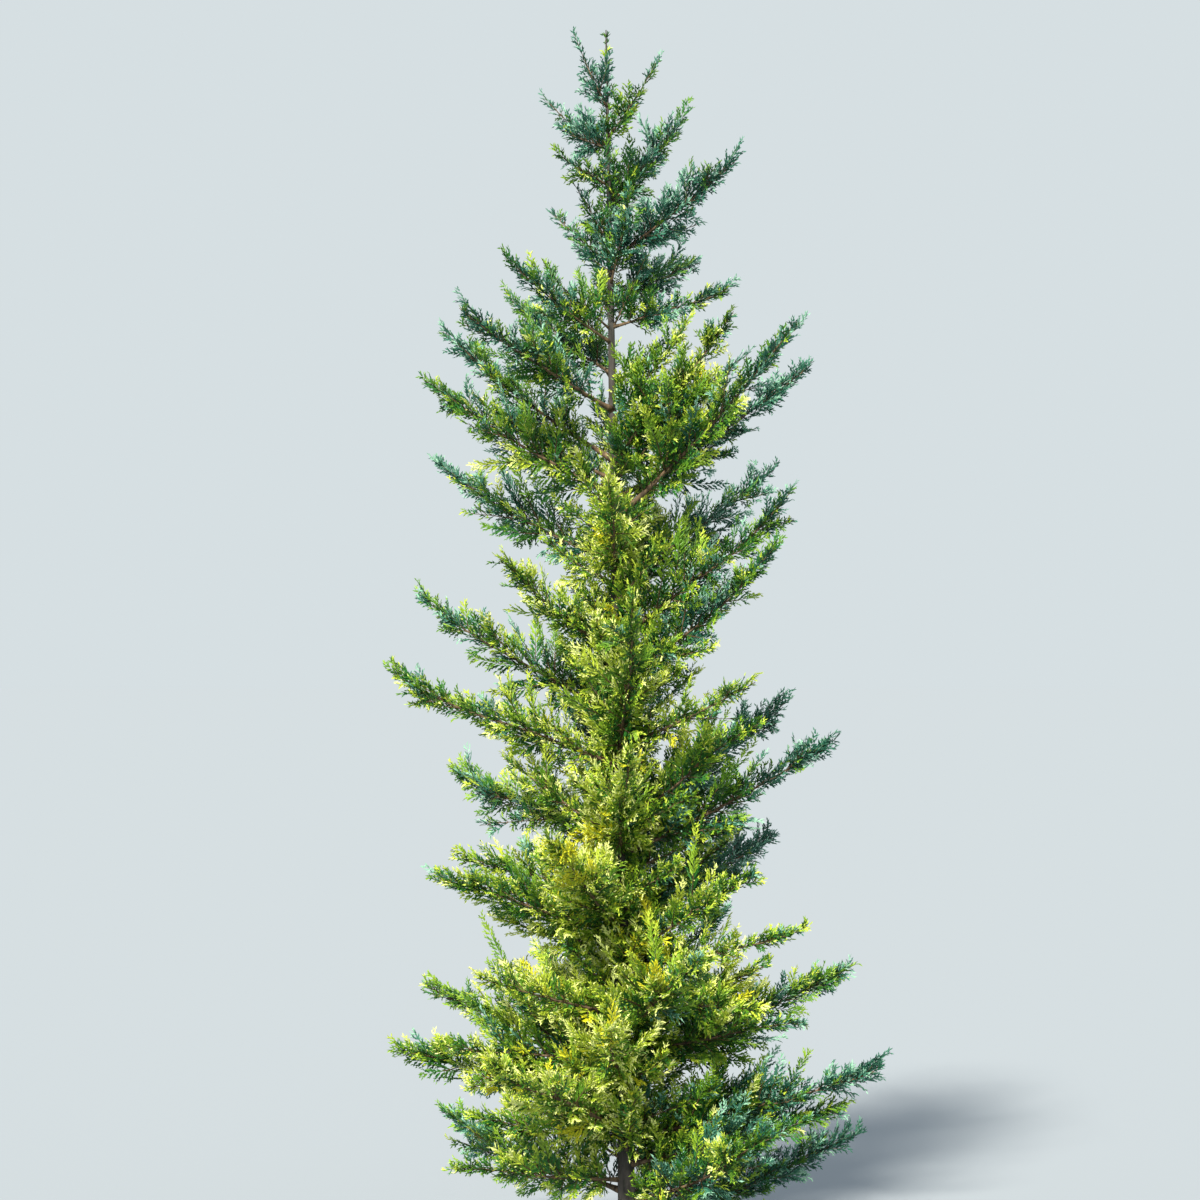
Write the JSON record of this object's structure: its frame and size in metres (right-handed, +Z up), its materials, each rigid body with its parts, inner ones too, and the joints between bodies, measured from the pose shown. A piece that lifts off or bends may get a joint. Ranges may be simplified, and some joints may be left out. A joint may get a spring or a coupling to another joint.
{
  "type": "leyland cypress seedling",
  "caption": "Young leyland cypress tree: a slim leaning trunk, rising boughs and feathery sprays in an open, narrow crown, rooted in level ground.",
  "frame": {"origin": "middle of the flat cut under the trunk at ground level", "axes": "+Z up, +X to the right and +Y away from the eye in the pictured view"},
  "size_m": [0.9839, 0.8335, 2.5],
  "materials": {
    "bark": "rough",
    "foliage": "matte"
  },
  "bodies": {
    "root": {"bough_left_08": "bark", "bough_left_11": "bark", "bough_left_12": "bark", "bough_right_06": "bark", "bough_right_07": "bark", "bough_right_13": "bark", "bough_right_16": "bark", "bough_right_17": "bark", "bough_right_18": "bark", "foliage_back_01": "foliage", "foliage_back_02": "foliage", "foliage_back_03": "foliage", "foliage_back_04": "foliage", "foliage_back_05": "foliage", "foliage_back_06": "foliage", "foliage_back_07": "foliage", "foliage_front_01": "foliage", "foliage_front_02": "foliage", "foliage_front_03": "foliage", "foliage_front_04": "foliage", "foliage_front_05": "foliage", "foliage_front_06": "foliage", "foliage_front_07": "foliage", "foliage_front_08": "foliage", "foliage_left_01": "foliage", "foliage_left_02": "foliage", "foliage_left_03": "foliage", "foliage_left_04": "foliage", "foliage_left_05": "foliage", "foliage_left_06": "foliage", "foliage_left_07": "foliage", "foliage_left_08": "foliage", "foliage_left_09": "foliage", "foliage_left_10": "foliage", "foliage_left_11": "foliage", "foliage_left_12": "foliage", "foliage_left_13": "foliage", "foliage_left_14": "foliage", "foliage_left_15": "foliage", "foliage_left_16": "foliage", "foliage_left_17": "foliage", "foliage_right_01": "foliage", "foliage_right_02": "foliage", "foliage_right_03": "foliage", "foliage_right_04": "foliage", "foliage_right_05": "foliage", "foliage_right_06": "foliage", "foliage_right_07": "foliage", "foliage_right_08": "foliage", "foliage_right_09": "foliage", "foliage_right_10": "foliage", "foliage_right_11": "foliage", "foliage_right_12": "foliage", "foliage_right_13": "foliage", "foliage_right_14": "foliage", "foliage_right_15": "foliage", "foliage_right_16": "foliage", "foliage_right_17": "foliage", "foliage_right_18": "foliage", "trunk": "bark"}
  },
  "joints": []
}
